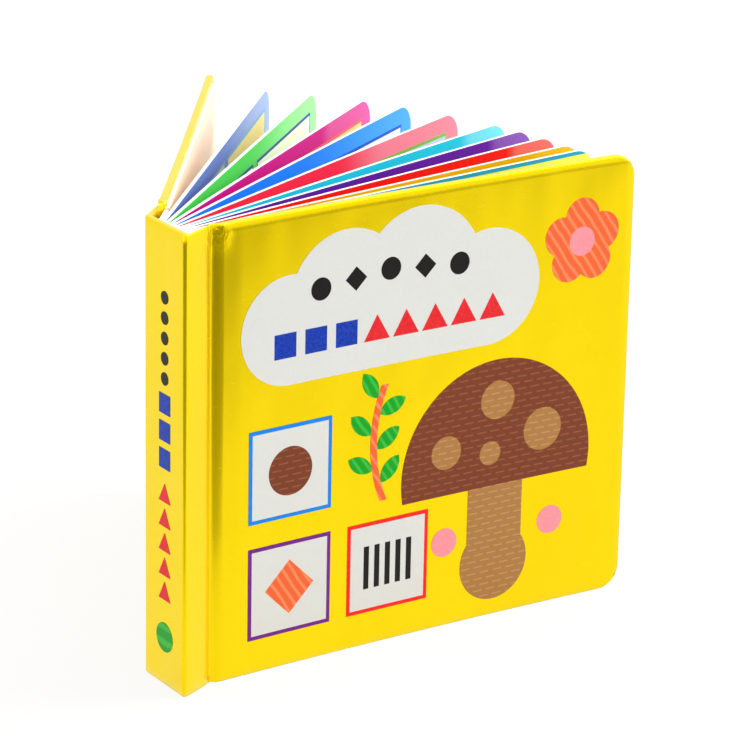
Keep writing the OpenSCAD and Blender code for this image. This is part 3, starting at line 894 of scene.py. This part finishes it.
def wrap_half(case, side, material):
    """Half of the wrap, from the spine's middle to one cover's fore-edge."""
    plan = Plan(case, side)
    bm = bmesh.new()
    fold_sheet(bm, plan)
    cut_sheet(bm, plan)
    shape_sheet(bm, plan)
    turn_over_edges(bm, plan)
    bm.normal_update()
    spine = min(bm.faces, key=lambda f: f.calc_center_median().x)
    if spine.normal.x > 0:
        bmesh.ops.reverse_faces(bm, faces=bm.faces[:])
    mesh = bpy.data.meshes.new(f"wrap_{side}_half")
    bm.to_mesh(mesh)
    bm.free()
    mesh.shade_smooth()
    piece = bpy.data.objects.new(f"wrap_{side}_half", mesh)
    bpy.context.collection.objects.link(piece)
    mesh.materials.append(material)
    paper = piece.modifiers.new("Paper", "SOLIDIFY")
    paper.thickness = case.paper
    paper.offset = -1
    shading = piece.modifiers.new("Even Shading", "WEIGHTED_NORMAL")
    shading.weight = 80
    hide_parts(f"wrap_{side}", "wrap_spine")
    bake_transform(piece)


def paint(node, material):
    """Gives a CAD node its finish."""
    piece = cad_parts[node]
    piece.data.materials.clear()
    piece.data.materials.append(material)


def soften(node, width):
    """Rounds a cut edge a little."""
    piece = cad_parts[node]
    weld = piece.modifiers.new("Weld", "WELD")
    weld.merge_threshold = TOUCHING
    bevel = piece.modifiers.new("Cut Edge", "BEVEL")
    bevel.width = width
    bevel.segments = 2
    bevel.limit_method = "ANGLE"
    bevel.angle_limit = math.radians(40)


class BOOK_OT_make_groups(bpy.types.Operator):
    """Make the node groups that the materials share"""

    bl_idname = "book.make_groups"
    bl_label = "Shared Effects"

    def execute(self, context):
        make_laminate_group()
        make_fibre_group()
        make_fan_group()
        make_ink_group()
        return {"FINISHED"}


class BOOK_OT_make_wrap(bpy.types.Operator):
    """Make the wrap that covers the boards and the spine"""

    bl_idname = "book.make_wrap"
    bl_label = "Wrap"

    def execute(self, context):
        material = wrap_material()
        for side in (FRONT, BACK):
            wrap_half(context.scene.book_case, side, material)
        return {"FINISHED"}


class BOOK_OT_finish_boards(bpy.types.Operator):
    """Finish the boards inside the case and the leaves' card"""

    bl_idname = "book.finish_boards"
    bl_label = "Boards and Leaves"

    def execute(self, context):
        grey = grey_board_material()
        for node in ("front_board", "spine_board", "back_board"):
            paint(node, grey)
        card = card_material()
        for node in ("pages", "front_pasted_leaf", "back_pasted_leaf"):
            paint(node, card)
            soften(node, 0.12 * MM)
        return {"FINISHED"}


class BOOK_OT_finish_pages(bpy.types.Operator):
    """Finish the printed pages and their panels"""

    bl_idname = "book.finish_pages"
    bl_label = "Pages"

    def execute(self, context):
        for spread in range(len(PAGE_INKS)):
            paint(f"page_print_{spread}", page_material(spread))
        paint("front_pasted_print", bpy.data.materials["Page Colour 10"])
        paint("back_pasted_print", bpy.data.materials["Page Colour 0"])
        for node in PANELS:
            paint(node, panel_material(node))
        return {"FINISHED"}


class BOOK_OT_finish_print(bpy.types.Operator):
    """Finish the print on the cover and the spine"""

    bl_idname = "book.finish_print"
    bl_label = "Cover Print"

    def execute(self, context):
        for name in COVER_INKS:
            paint(f"front_print_{name}", cover_ink_material(name))
        for name in ("dark", "blue", "red", "green"):
            paint(f"spine_print_{name}", bpy.data.materials[f"Cover Ink {name}".title()])
        return {"FINISHED"}


# Where the softboxes are aimed
BOOK_MIDDLE = (0.09, 0.04, 0.09)


def softbox(name, place, wide, tall, power):
    """A large soft lamp, aimed at the book."""
    data = bpy.data.lights.new(name, "AREA")
    data.shape = "RECTANGLE"
    data.size = wide
    data.size_y = tall
    data.energy = power
    lamp = bpy.data.objects.new(name, data)
    lamp.location = place
    lamp.rotation_euler = (Vector(BOOK_MIDDLE) - Vector(place)).to_track_quat("-Z", "Y").to_euler()
    bpy.context.collection.objects.link(lamp)


# Painted reflection: in the wrap's reflections only, the floor glows less away from the book in this
# direction, in two bands
# Each band: where it starts and ends, in metres, and how bright the floor glows in reflections at either
# end
REFLECTION_FADES_ALONG = (-0.62, -0.78, 0.0)
NEAR_REFLECTION_BAND = (0.08, 0.2, 1.0, 0.26)
FAR_REFLECTION_BAND = (0.3, 0.55, 1.0, 0.16)
# How much of the floor's white glows where the camera sees it, so that a light shadow stays
FLOOR_GLOW = 0.86


def make_floor():
    """A wide pale floor that looks white and keeps the book's shadow; in reflections it glows with a
    painted fade that darkens the wrap.
    """
    bm = bmesh.new()
    bmesh.ops.create_grid(bm, x_segments=1, y_segments=1, size=4.0)
    mesh = bpy.data.meshes.new("floor")
    bm.to_mesh(mesh)
    bm.free()
    floor = bpy.data.objects.new("floor", mesh)
    bpy.context.collection.objects.link(floor)
    material = bpy.data.materials.new("Floor")
    material.use_nodes = True
    tree = material.node_tree
    shader = tree.nodes["Principled BSDF"]
    shader.inputs["Base Color"].default_value = (0.94, 0.94, 0.94, 1)
    shader.inputs["Roughness"].default_value = 0.9
    shader.inputs["Specular IOR Level"].default_value = 0.0
    path = add(tree, "ShaderNodeLightPath")
    towards_front = add(tree, "ShaderNodeVectorMath", {
        0: object_coordinates(tree), 1: REFLECTION_FADES_ALONG}, operation="DOT_PRODUCT")
    # Painted reflection: the glow that glossy rays see fades away from the book in two bands
    near = ranged(tree, towards_front.outputs["Value"], *NEAR_REFLECTION_BAND, smooth=True)
    far = ranged(tree, towards_front.outputs["Value"], *FAR_REFLECTION_BAND, smooth=True)
    level = maths(tree, "MULTIPLY", near, far)
    level = maths(tree, "MAXIMUM", path.outputs["Is Camera Ray"], level)
    glow = add(tree, "ShaderNodeEmission", {"Color": (1, 1, 1, 1), "Strength": level})
    seen = maths(tree, "MULTIPLY", path.outputs["Is Camera Ray"], FLOOR_GLOW)
    seen = maths(tree, "MAXIMUM", seen, path.outputs["Is Glossy Ray"])
    seen = maths(tree, "MAXIMUM", seen, path.outputs["Is Transmission Ray"])
    mix = add(tree, "ShaderNodeMixShader", {0: seen})
    tree.links.new(shader.outputs[0], mix.inputs[1])
    tree.links.new(glow.outputs[0], mix.inputs[2])
    tree.links.new(mix.outputs[0], tree.nodes["Material Output"].inputs["Surface"])
    mesh.materials.append(material)


def make_sky(strength):
    """Even light from all round, on a white ground."""
    world = bpy.data.worlds.new("Studio")
    bpy.context.scene.world = world
    world.use_nodes = True
    tree = world.node_tree
    ground = tree.nodes["Background"]
    ground.inputs["Color"].default_value = (1, 1, 1, 1)
    path = add(tree, "ShaderNodeLightPath")
    seen = maths(tree, "MAXIMUM", path.outputs["Is Camera Ray"], path.outputs["Is Transmission Ray"])
    level = ranged(tree, path.outputs["Is Glossy Ray"], 0.0, 1.0, strength, 1.0)
    tree.links.new(maths(tree, "MAXIMUM", seen, level), ground.inputs["Strength"])


def make_camera(stage):
    """The camera at the photograph's place."""
    data = bpy.data.cameras.new("Camera")
    data.lens = stage.lens
    data.sensor_width = 36.0
    data.clip_start = 0.05
    data.clip_end = 20.0
    turn, pitch, roll = stage.turn, stage.pitch, stage.roll
    right = Vector((math.cos(turn), -math.sin(turn), 0.0))
    up = Vector((math.sin(turn) * math.sin(pitch), math.cos(turn) * math.sin(pitch), math.cos(pitch)))
    x_axis = math.cos(roll) * right + math.sin(roll) * up
    y_axis = math.cos(roll) * up - math.sin(roll) * right
    z_axis = x_axis.cross(y_axis)
    camera = bpy.data.objects.new("Camera", data)
    turned_to = Matrix((x_axis, y_axis, z_axis)).transposed()
    camera.matrix_world = Matrix.Translation(stage.eye) @ turned_to.to_4x4()
    bpy.context.collection.objects.link(camera)
    bpy.context.scene.camera = camera


class BOOK_OT_set_stage(bpy.types.Operator):
    """Set the floor, the light and the camera"""

    bl_idname = "book.set_stage"
    bl_label = "Stage"

    def execute(self, context):
        stage = context.scene.book_stage
        make_floor()
        make_sky(stage.sky)
        softbox("Key", (-0.7, -1.5, 1.5), 1.4, 1.0, stage.key)
        softbox("Fill", (-1.5, 0.2, 0.7), 0.9, 1.2, stage.fill)
        softbox("Right", (1.6, -0.5, 1.2), 1.2, 1.2, stage.right)
        softbox("Top", (0.9, 0.3, 1.8), 1.4, 1.4, stage.top)
        make_camera(stage)
        context.scene.view_settings.view_transform = "Standard"
        return {"FINISHED"}


STEPS = (
    BOOK_OT_make_groups,
    BOOK_OT_make_wrap,
    BOOK_OT_finish_boards,
    BOOK_OT_finish_pages,
    BOOK_OT_finish_print,
    BOOK_OT_set_stage,
)


class BOOK_PT_panel(bpy.types.Panel):
    """The book's pieces, in the 3D view's sidebar"""

    bl_idname = "BOOK_PT_panel"
    bl_label = "Picture Book"
    bl_space_type = "VIEW_3D"
    bl_region_type = "UI"
    bl_category = "Picture Book"

    def draw(self, context):
        for step in STEPS:
            self.layout.operator(step.bl_idname)


CLASSES = (BookCase, BookColours, BookStage, *STEPS, BOOK_PT_panel)


def register():
    for item in CLASSES:
        bpy.utils.register_class(item)
    bpy.types.Scene.book_case = bpy.props.PointerProperty(type=BookCase)
    bpy.types.Scene.book_colours = bpy.props.PointerProperty(type=BookColours)
    bpy.types.Scene.book_stage = bpy.props.PointerProperty(type=BookStage)


def unregister():
    del bpy.types.Scene.book_stage
    del bpy.types.Scene.book_colours
    del bpy.types.Scene.book_case
    for item in reversed(CLASSES):
        bpy.utils.unregister_class(item)


def main():
    register()
    bpy.ops.book.make_groups()
    bpy.ops.book.make_wrap()
    bpy.ops.book.finish_boards()
    bpy.ops.book.finish_pages()
    bpy.ops.book.finish_print()
    bpy.ops.book.set_stage()


if __name__ == "__main__":
    main()
